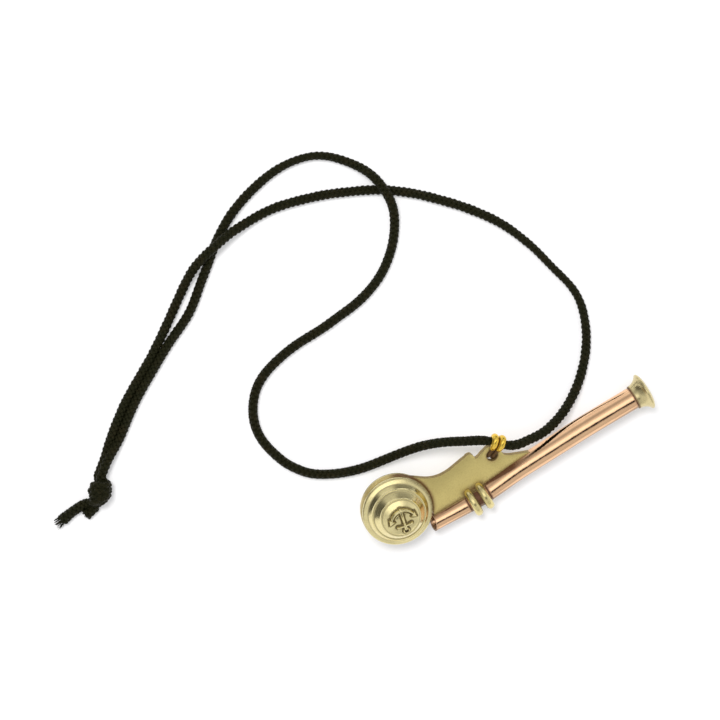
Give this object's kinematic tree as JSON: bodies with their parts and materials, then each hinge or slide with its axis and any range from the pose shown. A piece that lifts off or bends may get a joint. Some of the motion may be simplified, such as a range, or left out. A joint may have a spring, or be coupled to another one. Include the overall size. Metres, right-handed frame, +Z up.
{
  "type": "boatswain's call",
  "caption": "Boatswain's call in brass with a copper tube, stepped round buoy and flat keel, hung by a split ring on a knotted braided cord lanyard.",
  "frame": {"origin": "bottom centre of the overall box, on the surface the call and its lanyard lie on", "axes": "+X the longer side of the layout, towards the mouthpiece; +Z up, the shortest extent"},
  "size_m": [0.2142, 0.1404, 0.0211],
  "materials": {
    "keel_brass": "worn satin brass plate",
    "dome_brass": "polished brass, tarnish in the steps",
    "mouth_brass": "polished brass",
    "binding_brass": "polished brass wire",
    "gilt_brass": "bright gilt brass wire",
    "copper": null,
    "cord": "braided black cord"
  },
  "bodies": {
    "call": {"keel_plate": "keel_brass", "buoy_dome_front": "dome_brass", "buoy_dome_back": "dome_brass", "gun_tube": "copper", "mouthpiece": "mouth_brass", "binding_ring_a": "binding_brass", "binding_ring_b": "binding_brass"},
    "ring": {"split_ring": "gilt_brass"},
    "cord_near": {"cord_bight": "cord", "cord_left_near": "cord", "cord_right_near": "cord"},
    "cord_mid": {"cord_left_mid": "cord", "cord_right_mid": "cord"},
    "cord_end": {"cord_left_twin": "cord", "cord_right_twin": "cord", "cord_knot": "cord", "cord_tail_long": "cord", "cord_tail_short": "cord"}
  },
  "joints": [
    {"name": "ring_swing", "type": "hinge", "parent": "call", "child": "ring", "pos_m": [0.04921, -0.03552, 0.01083], "axis": [0.9469, -0.2087, -0.2446], "range_deg": [-25, 20]},
    {"name": "cord_lift", "type": "hinge", "parent": "call", "child": "cord_near", "pos_m": [0.05021, -0.03396, 0.01338], "axis": [0.9781, 0.2079, 0], "range_deg": [0, 90]},
    {"name": "cord_fold", "type": "hinge", "parent": "cord_near", "child": "cord_mid", "pos_m": [0.02769, -0.01877, 0.0014], "axis": [0.9363, 0.3511, 0], "range_deg": [0, 90]},
    {"name": "tail_fold", "type": "hinge", "parent": "cord_mid", "child": "cord_end", "pos_m": [-0.06147, 0.01608, 0.0014], "axis": [-0.8854, 0.4648, 0], "range_deg": [0, 90]}
  ]
}
